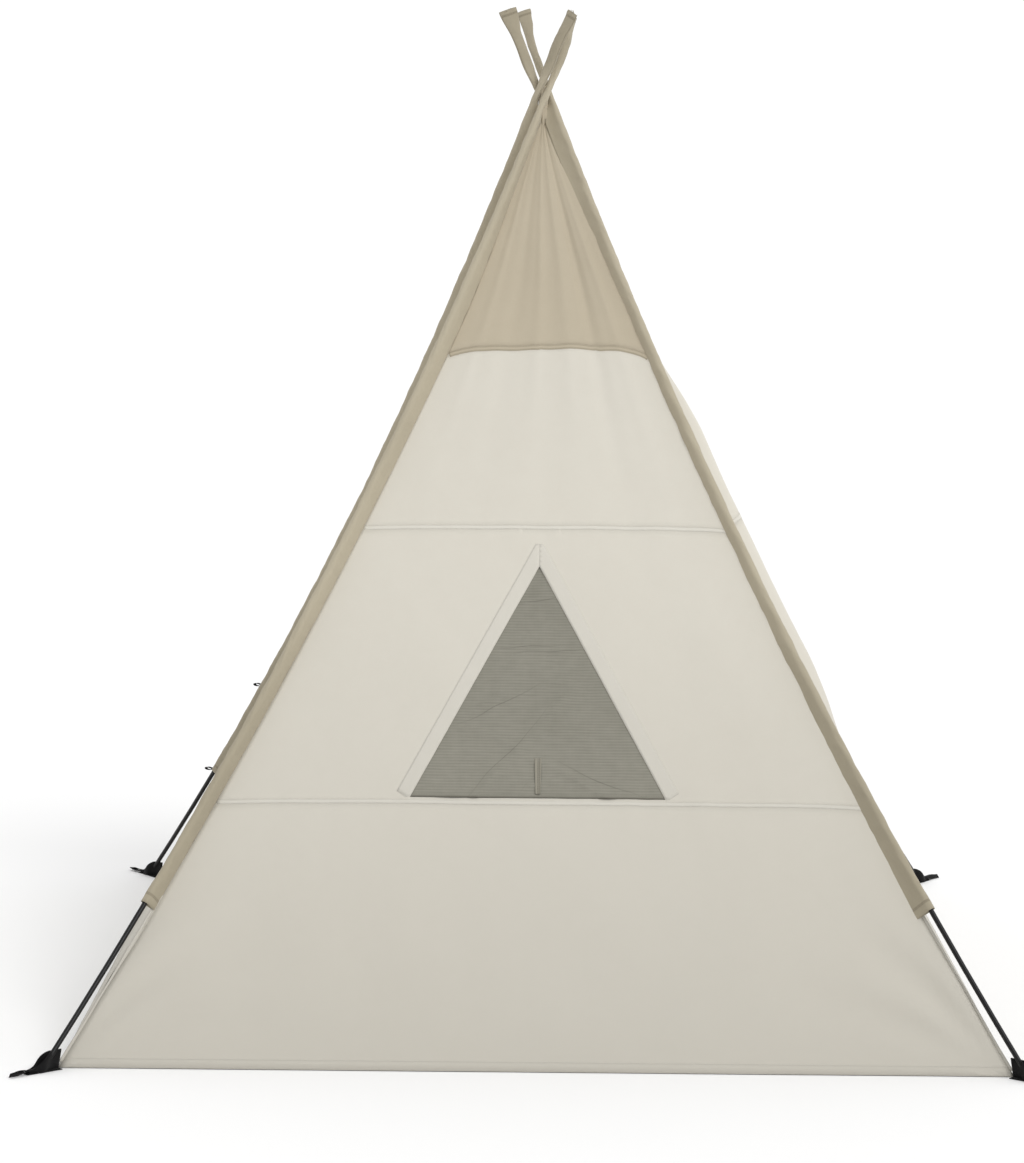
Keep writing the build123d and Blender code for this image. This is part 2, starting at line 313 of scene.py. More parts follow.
class Finish:
    """One material, with the few calls that build its pattern."""

    def __init__(self, name, **constants):
        self.material = bpy.data.materials.new(name)
        self.material.use_nodes = True
        self.tree = self.material.node_tree
        self.shader = self.tree.nodes["Principled BSDF"]
        for socket, value in constants.items():
            self.shader.inputs[socket.replace("_", " ")].default_value = value

    def node(self, kind, settings, *values, output=0, **named):
        made = self.tree.nodes.new(kind)
        for key, value in settings.items():
            setattr(made, key, value)
        sockets = list(zip(range(len(values)), values)) + list(named.items())
        for key, value in sockets:
            if value is None:
                continue
            key = key.replace("_", " ") if isinstance(key, str) else key
            if isinstance(value, Value):
                self.tree.links.new(value.socket, made.inputs[key])
            else:
                made.inputs[key].default_value = value
        return Value(self, made.outputs[output])

    def part(self, vector, axis):
        return self.node("ShaderNodeSeparateXYZ", {}, vector, output=axis)

    def uv(self):
        return self.node("ShaderNodeTexCoord", {}, output=2)

    def place(self):
        return self.node("ShaderNodeTexCoord", {}, output=3)

    def stretch(self, vector, scale):
        return self.node("ShaderNodeMapping", {}, vector, Scale=scale)

    def cloud(self, vector, scale, detail=2.0):
        return self.node("ShaderNodeTexNoise", {}, Vector=vector, Scale=scale, Detail=detail)

    def blend(self, amount, first, second):
        mix = self.tree.nodes.new("ShaderNodeMix")
        mix.data_type = "RGBA"
        for index, value in ((0, amount), (6, first), (7, second)):
            if isinstance(value, Value):
                self.tree.links.new(value.socket, mix.inputs[index])
            else:
                mix.inputs[index].default_value = value
        return Value(self, mix.outputs[2])

    def bump(self, height, strength, distance, under=None):
        return self.node("ShaderNodeBump", {}, Strength=strength, Distance=distance, Height=height, Normal=under)

    def set(self, **sockets):
        for key, value in sockets.items():
            target = self.shader.inputs[key.replace("_", " ")]
            if isinstance(value, Value):
                self.tree.links.new(value.socket, target)
            else:
                target.default_value = value
        return self.material


def tone(red, green, blue):
    """A colour as a swatch book gives it, from 0 to 255, made linear."""
    return tuple(((c / 255 + 0.055) / 1.055) ** 2.4 if c > 10 else c / 3294.6 for c in (red, green, blue)) + (1.0,)


def canvas(name, pale, deep, stitches=None, marked=0.4):
    """Plain-woven tent canvas: threads both ways, slubs, a faint unevenness in its colour, and painted shade darkening
    it towards the hem.
    """
    cloth = Finish(name, Roughness=0.9, Sheen_Weight=0.12, Sheen_Roughness=0.5, Specular_IOR_Level=0.25)
    uv = cloth.uv()
    along, across = cloth.part(uv, 0), cloth.part(uv, 1)
    weft = cloth.cloud(cloth.stretch(uv, (60, 900, 1)), 1.0, 3.0)
    warp = cloth.cloud(cloth.stretch(uv, (900, 60, 1)), 1.0, 3.0)
    patchy = cloth.cloud(cloth.place(), 2.2, 4.0)
    height = cloth.part(cloth.place(), 2)
    mottled = cloth.cloud(cloth.place(), 28.0, 3.0)
    threads = along.wave(0.0016) * across.wave(0.0016)
    colour = cloth.blend((patchy * 0.55 + mottled * 0.25 + weft * 0.35 + warp * 0.25 - 0.2).limit(), deep, pale)
    # painted shade: the canvas is darkened towards the hem to stand in for the lower walls getting less light
    painted_low_shade = (1 - height / 1.25).limit() ** 1.2
    colour = cloth.blend(painted_low_shade * 0.55, colour, tuple(c * 0.66 for c in deep[:3]) + (1,))
    normal = cloth.bump(weft * 0.5 + warp * 0.4 + threads * 0.25, 0.32, 0.0006)
    if stitches:
        rows = None
        for row in stitches:
            line = (across - row).size().below(0.0011)
            rows = line if rows is None else rows.most(line)
        dash = along.repeat(0.0042).below(0.62)
        groove = None
        for row in stitches:
            dent = (1 - (across - row).size() / 0.0032).limit()
            groove = dent if groove is None else groove.most(dent)
        # painted shade in the dents beside the stitch rows; the rows themselves get the thread's darker colour
        colour = cloth.blend(groove * marked * 0.5, colour, tuple(c * 0.62 for c in deep[:3]) + (1,))
        colour = cloth.blend(rows * dash * marked, colour, tuple(c * 0.72 for c in deep[:3]) + (1,))
        normal = cloth.bump(rows * dash * 0.6 - groove, 0.15 + marked * 0.7, 0.0012, normal)
    return cloth.set(Base_Color=colour, Normal=normal)


CREAM = canvas("cream canvas", tone(215, 211, 200), tone(206, 201, 189))
CREAM_SEAM = canvas("cream felled seam", tone(218, 215, 205), tone(210, 206, 195), (0.0022, 0.0066), 0.05)
CREAM_HEM = canvas("cream hem", tone(214, 210, 199), tone(205, 200, 188), (0.0190,), 0.06)
TAN = canvas("tan canvas", tone(190, 180, 160), tone(178, 167, 146))
TAN_SEAM = canvas("tan felled seam", tone(188, 178, 157), tone(176, 165, 144), (0.0024, 0.0104), 0.5)
FACING = canvas("pale facing canvas", tone(212, 208, 198), tone(204, 200, 189), (0.0035, 0.0315), 0.06)


def sleeve_canvas():
    """The tan canvas of a pole sleeve, with its rows of stitching by the walls and at its ends."""
    cloth = Finish("tan sleeve canvas", Roughness=0.9, Sheen_Weight=0.12, Sheen_Roughness=0.5, Specular_IOR_Level=0.25)
    uv = cloth.uv()
    along, across = cloth.part(uv, 0), cloth.part(uv, 1)
    weft = cloth.cloud(cloth.stretch(uv, (60, 900, 1)), 1.0, 3.0)
    warp = cloth.cloud(cloth.stretch(uv, (900, 60, 1)), 1.0, 3.0)
    patchy = cloth.cloud(cloth.place(), 3.0, 4.0)
    worn = (patchy * 0.7 + weft * 0.4 + warp * 0.3 - 0.25).limit()
    colour = cloth.blend(worn, tone(166, 157, 137), tone(188, 179, 158))
    normal = cloth.bump(weft * 0.5 + warp * 0.4, 0.32, 0.0006)
    end = SLEEVE_RUN
    rows, dents = None, None
    for value, row, dashed in (
        (across, 0.004, along), (across, SLEEVE_WIDE - 0.004, along), (along, 0.021, across),
        (along, 0.024, across), (along, end - 0.013, across), (along, end - 0.016, across),
    ):
        away = (value - row).size()
        line = away.below(0.0009) * dashed.repeat(0.0042).below(0.62)
        dent = (1 - away / 0.0030).limit()
        rows = line if rows is None else rows.most(line)
        dents = dent if dents is None else dents.most(dent)
    # painted shade in the dents beside the sleeve's stitch rows
    colour = cloth.blend(dents * 0.4, colour, tone(112, 103, 86))
    colour = cloth.blend(rows * 0.4, colour, tone(134, 125, 106))
    height = cloth.part(cloth.place(), 2)
    # painted shade: the sleeve is darkened towards its lower end to stand in for the shade there; it is also darkened
    # at its top end above 2.43 m
    painted_low_shade_dark_top = ((1.15 - height) * 2).limit() + ((height - 2.43) / 0.05).limit()
    colour = cloth.blend(painted_low_shade_dark_top * 0.31, colour, tone(120, 112, 94))
    return cloth.set(Base_Color=colour, Normal=cloth.bump(rows * 0.6 - dents, 0.6, 0.0012, normal))


# Lines of painted shade that stand in for the shading of creases in the netting.
CREASE_LINES = (
    # height of the crease at the middle, its slope, and where along the mesh it shows
    (0.447, 0.02, 0.0), (0.325, 0.05, 0.04), (0.240, 0.45, -0.10), (0.160, 1.05, -0.08), (0.020, 0.55, -0.20),
    (0.085, -0.42, 0.16), (0.060, 1.60, -0.14), (0.340, 0.04, -0.02),
)


def netting():
    """Fine grey-green insect netting, with its rows of knots, a painted shadow along its lower edge, and painted shade
    along its creases.
    """
    net = Finish("insect netting", Roughness=0.8, Specular_IOR_Level=0.2)
    uv = net.uv()
    along, up = net.part(uv, 0), net.part(uv, 1)
    rows = up.wave(0.0068) * 0.5 + 0.5
    knots = along.wave(0.0034) * 0.5 + 0.5
    patchy = net.cloud(net.place(), 5.0, 3.0)
    streaks = net.cloud(net.stretch(uv, (14, 320, 1)), 1.0, 4.0)
    grubby = net.cloud(net.stretch(uv, (40, 40, 1)), 1.0, 5.0)
    worn = (rows * 0.22 + knots * 0.08 + patchy * 0.25 + streaks * 0.35 + grubby * 0.22 - 0.1).limit()
    colour = net.blend(worn, tone(122, 120, 108), tone(172, 169, 157))
    # painted shadow along the mesh's lower edge, by the sill
    low = (1 - (up / 0.006)).limit()
    colour = net.blend(low * 0.8, colour, tone(70, 66, 56))
    bend = net.cloud(net.stretch(uv, (6, 6, 1)), 1.0, 1.0) * 0.05
    # painted shade along the creases
    for level, tilt, reach in CREASE_LINES:
        away = (up - along * tilt - level - bend).size()
        crease_shade = (1 - away / 0.0020).limit() * (1 - (along - reach).size() / 0.13).limit()
        colour = net.blend(crease_shade * 0.55, colour, tone(96, 93, 82))
    stitched = (1 - (up - 0.0085).size() / 0.0012).limit() * along.repeat(0.0042).below(0.6)
    colour = net.blend(stitched * 0.5, colour, tone(98, 95, 84))
    normal = net.bump(rows, 0.25, 0.0008)
    return net.set(Base_Color=colour, Normal=normal, Alpha=0.80)


def webbing():
    """Black webbing, ribbed across its width."""
    strap = Finish("black webbing", Roughness=0.78, Sheen_Weight=0.04, Specular_IOR_Level=0.18)
    uv = strap.uv()
    along, across = strap.part(uv, 0), strap.part(uv, 1)
    ribs = along.wave(0.0022) * (across.wave(0.0030) * 0.4 + 0.6)
    worn = strap.cloud(strap.place(), 90.0, 3.0)
    colour = strap.blend((ribs * 0.2 + worn * 0.6).limit(), tone(9, 9, 10), tone(26, 25, 25))
    return strap.set(Base_Color=colour, Normal=strap.bump(ribs, 0.5, 0.0008))


def coated_steel():
    """Glossy black coating on the pole tubes, with faint runs and dust."""
    steel = Finish("black coated steel", Metallic=0.0, Coat_Weight=0.12, Coat_Roughness=0.18, Specular_IOR_Level=0.30)
    dust = steel.cloud(steel.place(), 35.0, 5.0)
    streak = steel.cloud(steel.stretch(steel.place(), (260, 260, 12)), 1.0, 2.0)
    colour = steel.blend((dust * 0.5 + streak * 0.4 - 0.2).limit(), tone(7, 7, 7), tone(20, 20, 21))
    return steel.set(Base_Color=colour, Roughness=dust * 0.18 + 0.22, Normal=steel.bump(streak, 0.08, 0.0004))


def moulded(name, dark, light, gloss):
    """Moulded black plastic with a fine grain."""
    plastic = Finish(name, Specular_IOR_Level=0.4)
    grain = plastic.cloud(plastic.place(), 700.0, 3.0)
    scuff = plastic.cloud(plastic.place(), 40.0, 4.0)
    colour = plastic.blend((scuff * 0.8).limit(), dark, light)
    return plastic.set(Base_Color=colour, Roughness=grain * 0.2 + gloss, Normal=plastic.bump(grain, 0.2, 0.0003))


def groundsheet_cloth():
    """Coated woven groundsheet: flat tapes both ways under a dull film."""
    sheet = Finish("coated groundsheet", Specular_IOR_Level=0.4, Coat_Weight=0.1)
    place = sheet.place()
    weave = sheet.part(place, 0).wave(0.005) * sheet.part(place, 1).wave(0.005)
    scuff = sheet.cloud(place, 9.0, 5.0)
    colour = sheet.blend((weave * 0.25 + scuff * 0.7).limit(), tone(96, 94, 84), tone(132, 129, 117))
    return sheet.set(Base_Color=colour, Roughness=scuff * 0.25 + 0.45, Normal=sheet.bump(weave, 0.2, 0.0005))


# ---------------------------------------------------------------- walls
COLUMNS = 130
ROW = 0.020
SEAM_WIDE = {SEAM_LOW: 0.0085, SEAM_MID: 0.0085, SEAM_CROWN: 0.0128}
SEAM_LIFT = 0.0006


def seam_or_edge(height, u, wall):
    """A panel's top or bottom line: a seam dips a little, the hem stays level."""
    if height in (SEAM_LOW, SEAM_MID, SEAM_CROWN):
        return seam_height(height, u, wall)
    return height


def cloth_uv(bm):
    """A UV map in metres: across the cloth, and up it."""
    set_uv(bm, lambda co: (co.x, co.z))


def panel_mesh(low, high, wall):
    """A panel of a wall, drawn flat as x and height, with the width of the wall at each height."""
    rows = max(6, round((high - low) / ROW))
    bm = flat_grid(COLUMNS, rows)

    def place(co):
        z = low + (high - low) * co.y
        bottom, top = (seam_or_edge(h, co.x, wall) for h in (low, high))
        z = bottom + (top - bottom) * co.y
        left, right = wall_edges(z)
        return Vector((left + (right - left) * co.x, 0, z))

    moved(bm, place)
    return bm


def cut(bm, point, normal, clear=True):
    bmesh.ops.bisect_plane(
        bm, geom=bm.verts[:] + bm.edges[:] + bm.faces[:], plane_co=point, plane_no=normal,
        clear_outer=clear, dist=1e-6,
    )


def window_lines():
    """The two sloping sides of the window, as their shared top point and outward directions."""
    slope = math.atan2(WINDOW_HALF, WINDOW_HIGH - WINDOW_LOW)
    apex = Vector((0, 0, WINDOW_HIGH))
    left = Vector((-math.cos(slope), 0, math.sin(slope)))
    right = Vector((math.cos(slope), 0, math.sin(slope)))
    return apex, left, right


def take_out(bm, inside):
    """Deletes the faces whose middles are inside an outline."""
    gone = [face for face in bm.faces if inside(face.calc_center_median())]
    bmesh.ops.delete(bm, geom=gone, context="FACES")


def in_window(point):
    slope = WINDOW_HALF / (WINDOW_HIGH - WINDOW_LOW)
    return WINDOW_LOW < point.z and abs(point.x) < (WINDOW_HIGH - point.z) * slope


def door_edge(z):
    """The x of the door's straight hinged edge at a height, drawn as on the front wall."""
    share = (z - DOOR_LOW) / (DOOR_HIGH - DOOR_LOW)
    low, high = wall_edges(DOOR_LOW)[1], wall_edges(DOOR_HIGH)[1]
    return low + (high - low) * share + DOOR_IN


DOOR_IN = -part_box("door_flap")[0].x - wall_edges(DOOR_LOW)[1]


def in_door(point):
    return DOOR_LOW < point.z < DOOR_HIGH and DOOR_FREE < point.x < door_edge(point.z)


def cut_opening(bm, wall):
    """Cuts a panel along the outline of its window or door and takes the inside out."""
    if wall == "rear":
        low = Vector((door_edge(DOOR_LOW), 0, DOOR_LOW))
        high = Vector((door_edge(DOOR_HIGH), 0, DOOR_HIGH))
        run = (high - low).normalized()
        planes = [
            (low, Vector((0, 0, 1))), (high, Vector((0, 0, 1))),
            (Vector((DOOR_FREE, 0, 0)), Vector((1, 0, 0))), (low, Vector((run.z, 0, -run.x))),
        ]
        inside = in_door
    else:
        apex, left, right = window_lines()
        planes = [(apex, left), (apex, right), (Vector((0, 0, WINDOW_LOW)), Vector((0, 0, 1)))]
        inside = in_window
    for point, normal in planes:
        cut(bm, point, normal, clear=False)
    take_out(bm, inside)


def hung(bm, wall, lift=0.0):
    """Carries a flat drawing on to the hanging wall, after its UV map is taken."""
    moved(bm, lambda co: on_wall(co.x, co.z, wall, lift + co.y))
    bmesh.ops.recalc_face_normals(bm, faces=bm.faces)
    middle = spun((0, -1, 0), WALLS[wall])
    if sum(face.normal.dot(middle) * face.calc_area() for face in bm.faces) < 0:
        bmesh.ops.reverse_faces(bm, faces=bm.faces)


def strip(points, width, uv_start=0.0, across=3):
    """A ribbon drawn flat that follows points (x, z), lying to the right hand of its run."""
    bm = bmesh.new()
    layer = bm.loops.layers.uv.verify()
    run = 0.0
    rows = []
    for i, (x, z) in enumerate(points):
        before, after = points[max(i - 1, 0)], points[min(i + 1, len(points) - 1)]
        way = Vector((after[0] - before[0], 0, after[1] - before[1])).normalized()
        side = Vector((way.z, 0, -way.x))
        if i:
            run += math.hypot(x - points[i - 1][0], z - points[i - 1][1])
        row = []
        for j in range(across + 1):
            vert = bm.verts.new(Vector((x, 0, z)) + side * width * j / across)
            row.append((vert, (uv_start + run, width * j / across)))
        rows.append(row)
    for one, two in zip(rows, rows[1:]):
        for j in range(across):
            corners = (one[j], one[j + 1], two[j + 1], two[j])
            face = bm.faces.new([corner[0] for corner in corners])
            for loop, corner in zip(face.loops, corners):
                loop[layer].uv = corner[1]
    return bm


def seam_strip(seam, wall):
    """The felled seam across a wall, just above the joining line."""
    points = []
    for i in range(171):
        u = i / 170
        z = seam_height(seam, u, wall) + 0.006
        left, right = wall_edges(z)
        points.append((left + (right - left) * u, z))
    return strip(points, SEAM_WIDE[seam])


def hem_strip(wall):
    """The turned hem along the bottom of a wall."""
    z = 0.022
    left, right = wall_edges(z)
    return strip([(left + (right - left) * i / 150, z) for i in range(151)], 0.0215)


SEAM_TAKES = 0.026


def slant(low, high):
    """The length of a wall between two heights, measured up its lean."""
    return math.hypot(high - low, half(low) - half(high))


def wall_pieces(wall):
    levels = (
        ("lower", 0.0, SEAM_LOW), ("middle", SEAM_LOW, SEAM_MID),
        ("upper", SEAM_MID, SEAM_CROWN), ("crown", SEAM_CROWN, WALL_TIP),
    )
    made = {}
    for level, low, high in levels:
        bm = panel_mesh(low, high, wall)
        opened = (level == "middle") or (wall == "rear" and level == "lower")
        if opened:
            cut_opening(bm, wall)
        cloth_uv(bm)
        drawn = sum(face.calc_area() for face in bm.faces)
        area = drawn * slant(low, high) / (high - low)
        hung(bm, wall)
        wide, tall = wall_edges(low)[1] - wall_edges(low)[0] + SEAM_TAKES, slant(low, high) + SEAM_TAKES
        body = TAN if level == "crown" else CREAM
        piece = finish_piece(f"{level}_{wall}_cloth", bm, [body], thick=CLOTH)
        trims = []
        if low:
            trims.append(("seam", seam_strip(low, wall), TAN_SEAM if level == "crown" else CREAM_SEAM))
        else:
            trims.append(("hem", hem_strip(wall), CREAM_HEM))
        for kind, trim, material in trims:
            if wall == "rear" and kind == "seam" and low == SEAM_LOW:
                continue
            lift = SEAM_LIFT if level == "crown" else SEAM_LIFT / 2
            hung(trim, wall, lift)
            band_piece = finish_piece(f"{level}_{wall}_{kind}", trim, [material], thick=lift)
            band_piece.parent = piece
        made[level] = (piece, area, wide, tall)
    return made


GATHER_FLAT = (0.070, 0.116)


def crown_gather():
    """The bunched tips of the four walls, between the sleeves where the poles cross."""
    bm = flat_grid(36, 16)
    low, high = 2.296, 2.412

    def place(co):
        z = low + (high - low) * co.y
        turn = 2 * math.pi * co.x
        radius = 0.0060 + 0.0052 * smooth(0, 0.36, co.y) + 0.0012 * math.sin(7 * turn + 3 * co.y)
        return Vector((radius * math.cos(turn), radius * math.sin(turn), z))

    set_uv(bm, lambda co: (co.x * GATHER_FLAT[0], co.y * GATHER_FLAT[1]))
    moved(bm, place)
    bmesh.ops.remove_doubles(bm, verts=bm.verts, dist=1e-6)
    bmesh.ops.recalc_face_normals(bm, faces=bm.faces)
    return finish_piece("crown_gathered_tips", bm, [TAN], thick=0.0012)


def add_walls():
    gather = crown_gather()
    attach(gather, "tent")
    for wall in WALLS:
        for level, (piece, area, wide, tall) in wall_pieces(wall).items():
            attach(piece, "tent")
            node = "crown" if level == "crown" else f"{level}_{wall}"
            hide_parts(node)
            "canvas_tan" if level == "crown" else "canvas_cream"


# ---------------------------------------------------------------- pole sleeves
SLEEVE_RUN = BOW_R * (
    math.asin((BOW_CENTRE.z - SLEEVE_LOW) / BOW_R) - math.asin((BOW_CENTRE.z - SLEEVE_TIP) / BOW_R)
)
SLEEVE_WIDE = 0.098
NECK = 2.40


TIPS = {
    # turn of the flat end, half its width, and how far it leans to the right and upwards
    "front_left": (0.0, 0.0195, (-0.017, -0.010)), "front_right": (0.78, 0.0190, (0.012, 0.001)),
    "rear_right": (-0.78, 0.0235, (-0.004, -0.005)), "rear_left": (0.0, 0.0195, (0.008, -0.012)),
}


SLACK = {
    # how much wider the loose cloth above the crossing lies, across and out
    "front_left": (0.000, -0.004), "front_right": (0.003, 0.0),
    "rear_right": (0.0, -0.012), "rear_left": (0.0, -0.011),
}


def pole_in(z):
    """How far inside the pole's centre line the walls meet, square to the pole."""
    point = pole_at(z)[0]
    y = -half(z)
    seam = Vector(((seam_offset(z) - BOW_SIDE.y * y) / BOW_SIDE.x, y, z))
    if half(z) <= 0:
        seam = Vector((0, 0, z))
    return max(0.0, (point - seam).dot(BOW_OUT)) * abs(out_flat(z).dot(BOW_OUT))


def sleeve_point(z, turn, corner):
    """A point of a sleeve: a round back over the pole, drawn in to a flat seam at the walls."""
    seed = 30.0 + CORNERS[corner] / 7
    phase, flat_half, lean = TIPS[corner]
    flare = smooth(SLEEVE_TIP - 0.105, SLEEVE_TIP - 0.004, z)
    low = 1 - smooth(SLEEVE_LOW, SLEEVE_LOW + 0.08, z)
    neck = math.exp(-(((z - NECK) / 0.06) ** 2))
    inner = max(0.0098, pole_in(z) + 0.005 * (1 - smooth(2.28, 2.36, z)))
    outer = 0.0100 + 0.0012 * rough(z * 7, seed, 0) - 0.0010 * neck + 0.0012 * low
    wide = 0.0098 + 0.0012 * rough(z * 9, seed, 4) - 0.0012 * neck + 0.0008 * low
    across, out = math.sin(turn), math.cos(turn)
    side = across * wide
    away = out * outer
    if out < 0:
        side *= 1 - (-out) ** 1.5 * (0.90 if inner > 0.012 else 0.0)
        away = out * inner
        side += (-out) ** 1.3 * (seam_offset(z) - BOW_CENTRE.dot(BOW_SIDE)) * smooth(0.011, 0.024, inner)
    thin = 0.0098 + (0.0030 - 0.0098) * smooth(POLE_TOP + 0.006, SLEEVE_TIP - 0.006, z)
    if corner == "front_right" and out < 0:
        over = 0.017 * (-out) ** 1.5 * (1 - smooth(0.45, 1.65, z))
        side -= over * 0.71 + 0.0030 * (-out) ** 2
        away -= over * 0.70 - 0.0030 * (-out) ** 2
    flat_side, flat_away = across * thin, out * flat_half
    turned_side = flat_side * math.cos(phase) + flat_away * math.sin(phase)
    turned_away = flat_away * math.cos(phase) - flat_side * math.sin(phase)
    loose = smooth(NECK - 0.01, NECK + 0.08, z) * (1 - flare)
    slack_side, slack_away = SLACK[corner]
    side += loose * (slack_side if across * slack_side > 0 else 0) * abs(across)
    away += loose * (slack_away if out * slack_away > 0 else 0) * abs(out)
    side += (turned_side - side) * flare
    away += (turned_away - away) * flare
    wrinkle = 0.0022 * rough(math.sin(turn) * 1.1 + z * 16, z * 21 + turn * 0.8, seed)
    wrinkle += 0.0012 * rough(z * 48, math.sin(turn) * 1.7, seed + 2)
    scale = 1 + (wrinkle / 0.0105) * (1 - max(0.0, -out) ** 6)
    push = spun((lean[0], 0, lean[1]), -CORNERS[corner]) * smooth(SLEEVE_TIP - 0.11, SLEEVE_TIP, z)
    return pole_at(z)[0] + BOW_SIDE * side * scale + out_flat(z) * away * scale + push


def sleeve_mesh(corner):
    around, steps = 28, 330
    bm = flat_grid(around, steps)
    set_uv(bm, lambda co: (co.y * SLEEVE_RUN, co.x * SLEEVE_WIDE))

    def place(co):
        z = SLEEVE_LOW + (SLEEVE_TIP - SLEEVE_LOW) * co.y
        return sleeve_point(z, math.pi * (2 * co.x - 1), corner)

    moved(bm, place)
    bmesh.ops.remove_doubles(bm, verts=bm.verts, dist=1e-6)
    bmesh.ops.recalc_face_normals(bm, faces=bm.faces)
    if corner != "front_left":
        bmesh.ops.rotate(bm, verts=bm.verts, matrix=Matrix.Rotation(math.radians(CORNERS[corner]), 3, "Z"))
    return bm


def out_flat(z):
    """Square to the pole, away from the tent, in the upright plane of the pole."""
    drop = (z - BOW_CENTRE.z) / BOW_R
    run = math.sqrt(1 - drop * drop)
    return -(BOW_OUT * -run + UP * drop) * 1.0


def frayed_ends(corner):
    """A few loose threads at the cut end of a sleeve."""
    bm = bmesh.new()
    _, flat_half, tip = TIPS[corner]
    point = pole_at(SLEEVE_TIP)[0] + spun((tip[0], 0, tip[1]), -CORNERS[corner])
    for i in range(9):
        seed = 5.0 + i * 1.7 + CORNERS[corner]
        start = point + out_flat(SLEEVE_TIP) * (flat_half * rough(seed, 0, 0) * 1.4)
        length = (0.012 if corner.endswith("left") else 0.004) + 0.005 * rough(seed, 4, 0)
        lean = Vector((rough(seed, 1, 0), rough(seed, 2, 0), 0)) * 0.9 + UP
        thread = bmesh.ops.create_cone(bm, segments=5, radius1=0.0008, radius2=0.0004, depth=length, cap_ends=True)
        turn = UP.rotation_difference(lean.normalized()).to_matrix()
        bmesh.ops.rotate(bm, verts=thread["verts"], matrix=turn)
        bmesh.ops.translate(bm, verts=thread["verts"], vec=start - UP * 0.0035 + lean.normalized() * length * 0.35)
    bmesh.ops.rotate(bm, verts=bm.verts, matrix=Matrix.Rotation(math.radians(CORNERS[corner]), 3, "Z"))
    return bm


def add_sleeves():
    cloth = sleeve_canvas()
    for corner in CORNERS:
        bm = sleeve_mesh(corner)
        piece = finish_piece(f"sleeve_{corner}_cloth", bm, [cloth], thick=0.0009)
        fray = finish_piece(f"sleeve_{corner}_threads", frayed_ends(corner), [cloth])
        fray.parent = piece
        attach(piece, "tent")
        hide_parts(f"sleeve_{corner}")


# ---------------------------------------------------------------- windows
MESH_CREASES = (
    # height up the mesh, slope, width
    (0.84, 0.10, 0.010), (0.63, 0.03, 0.012), (0.47, 0.60, 0.012), (0.30, 1.9, 0.030), (0.16, -0.85, 0.014),
    (0.06, 0.25, 0.012),
)


MESH_TURN_IN = 0.004
FACING_WIDE = 0.035
FLAP_TIP = 0.020


def window_sheet(wall):
    """The mesh triangle in a window."""
    bm = flat_grid(96, 96)
    slope = WINDOW_HALF / (WINDOW_HIGH - WINDOW_LOW)

    def flat(co):
        z = WINDOW_LOW + (WINDOW_HIGH - WINDOW_LOW) * co.y
        reach = (WINDOW_HIGH - z) * slope + MESH_TURN_IN
        return Vector(((2 * co.x - 1) * reach, 0, z))

    moved(bm, flat)
    set_uv(bm, lambda co: (co.x, co.z - WINDOW_LOW))

    def sag(co):
        tall = WINDOW_HIGH - WINDOW_LOW
        t = (co.z - WINDOW_LOW) / tall
        free = max(0.0, 1 - abs(co.x) / max((WINDOW_HIGH - co.z) * slope, 0.01))
        seed = 60.0 + WALLS[wall]
        crease = 0.0
        for level, tilt, width in MESH_CREASES:
            line = t - level - tilt * co.x - 0.02 * rough(co.x * 9, level, seed)
            crease += math.exp(-((line / width) ** 2)) * 0.0030
        crease += 0.0025 * rough(co.x * 8 + co.z * 5, co.z * 9 - co.x * 4, seed)
        crease += 0.0016 * rough(co.x * 24, co.z * 20, seed + 4)
        bag = 0.0015 * math.sin(math.pi * min(max(t, 0), 1)) ** 0.5
        return Vector((co.x, -0.0016 + (crease - bag) * smooth(0, 0.35, free), co.z))

    moved(bm, sag)
    hung(bm, wall)
    return bm


def facing_mesh(wall):
    """The two pale strips on a window's sloping sides, carried past its top corner."""
    slope = math.atan2(WINDOW_HALF, WINDOW_HIGH - WINDOW_LOW)
    inset = 0.001
    whole = bmesh.new()
    for side in (-1, 1):
        points = []
        for i in range(64):
            z = WINDOW_LOW - 0.004 + (FACING_HIGH + 0.012 - WINDOW_LOW) * i / 63
            x = side * ((WINDOW_HIGH - z) * math.tan(slope) + inset / math.cos(slope))
            points.append((x, z))
        if side > 0:
            points.reverse()
        bm = strip(points, -FACING_WIDE, across=6)
        cut(bm, Vector((0, 0, 0)), Vector((-side, 0, 0)))
        merge(whole, bm)
    cut(whole, Vector((0, 0, FACING_HIGH)), Vector((0, 0, 1)))
    cut(whole, Vector((0, 0, WINDOW_LOW)), Vector((0, 0, -1)))
    hung(whole, wall, 0.0004)
    return whole


TIE_LOW, TIE_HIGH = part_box("tie_front")
TIE_FLAT = (1.54 * TIE_HIGH.x, TIE_HIGH.z - TIE_LOW.z)


def tie_mesh(wall):
    """A short folded tape that stands on the mesh from the window's sill."""
    low, high, wide = TIE_LOW.z, TIE_HIGH.z, TIE_HIGH.x
    bm = flat_grid(8, 24)

    def place(co):
        across = (2 * co.x - 1) * wide * (0.62 + 0.30 * co.y)
        return Vector((across, -0.0004 + 0.0006 * math.sin(co.x * 9), low + (high - low) * co.y))

    moved(bm, place)
    set_uv(bm, lambda co: (co.z - low, co.x))
    hung(bm, wall)
    return bm


